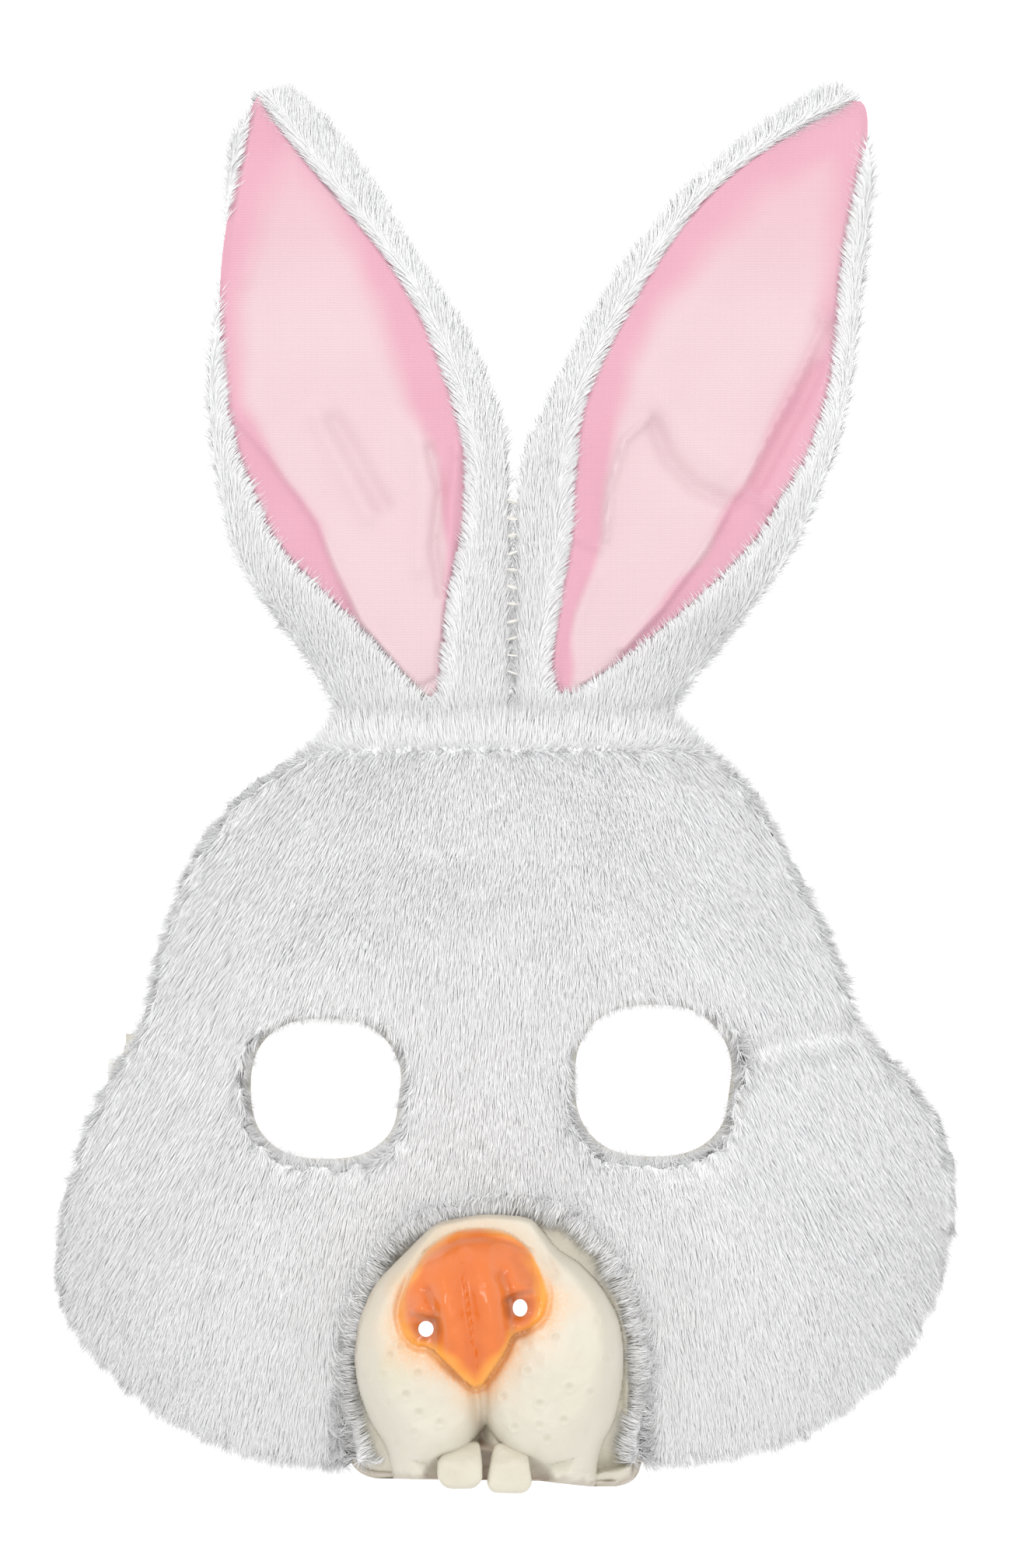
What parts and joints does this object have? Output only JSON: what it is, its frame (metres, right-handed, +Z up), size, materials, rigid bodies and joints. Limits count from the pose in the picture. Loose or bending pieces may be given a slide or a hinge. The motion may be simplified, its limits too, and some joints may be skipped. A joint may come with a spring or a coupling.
{
  "type": "plush rabbit half mask",
  "caption": "Plush rabbit half mask: moulded base with eye holes and snout, standing pink-lined ears and an elastic head strap.",
  "frame": {"origin": "on the inside of the shell, at the bridge between the eye holes, where it rests on the wearer's face", "axes": "+Z up towards the ears, -Y forwards where the face looks, +X to the wearer's left, which a viewer in front sees on the right"},
  "size_m": [0.1976, 0.0857, 0.3082],
  "materials": {
    "white_plush": "matte",
    "pink_satin": "satin",
    "foam": "matte",
    "thread": "satin",
    "latex": "matte",
    "painted_latex": "satin",
    "tooth_latex": "satin",
    "rivet_plastic": "gloss",
    "elastic": "matte"
  },
  "bodies": {
    "mask": {"face_shell": "latex", "face_plush": "white_plush", "muzzle": "painted_latex", "tooth_left": "tooth_latex", "tooth_right": "tooth_latex", "strap_tab_left": "latex", "strap_tab_right": "latex", "strap_rivet_left": "rivet_plastic", "strap_rivet_right": "rivet_plastic"},
    "ears": {"ear_plush_lower_left": "white_plush", "ear_lining_lower_left": "pink_satin", "ear_foam_lower_left": "foam", "ear_plush_lower_right": "white_plush", "ear_lining_lower_right": "pink_satin", "ear_foam_lower_right": "foam", "ear_seam_stitches": "thread"},
    "left_ear": {"ear_plush_upper_left": "white_plush", "ear_lining_upper_left": "pink_satin", "ear_foam_upper_left": "foam"},
    "right_ear": {"ear_plush_upper_right": "white_plush", "ear_lining_upper_right": "pink_satin", "ear_foam_upper_right": "foam"},
    "strap": {"elastic_strap": "elastic"}
  },
  "joints": [
    {"name": "ears_lean", "type": "hinge", "parent": "mask", "child": "ears", "pos_m": [0, 0.0192, 0.08], "axis": [1, 0, 0], "range_deg": [-35, 25], "stiffness_Nm_per_rad": 0.25},
    {"name": "left_ear_flop", "type": "hinge", "parent": "ears", "child": "left_ear", "pos_m": [0.0027, 0.0192, 0.134], "axis": [0.9848, 0, 0.1736], "range_deg": [-50, 65], "stiffness_Nm_per_rad": 0.06},
    {"name": "right_ear_flop", "type": "hinge", "parent": "ears", "child": "right_ear", "pos_m": [0.0027, 0.0192, 0.134], "axis": [0.9848, 0, -0.1736], "range_deg": [-50, 65], "stiffness_Nm_per_rad": 0.06},
    {"name": "strap_swing", "type": "hinge", "parent": "mask", "child": "strap", "pos_m": [0, 0.035, 0.002], "axis": [1, 0, 0], "range_deg": [-6, 125]}
  ]
}
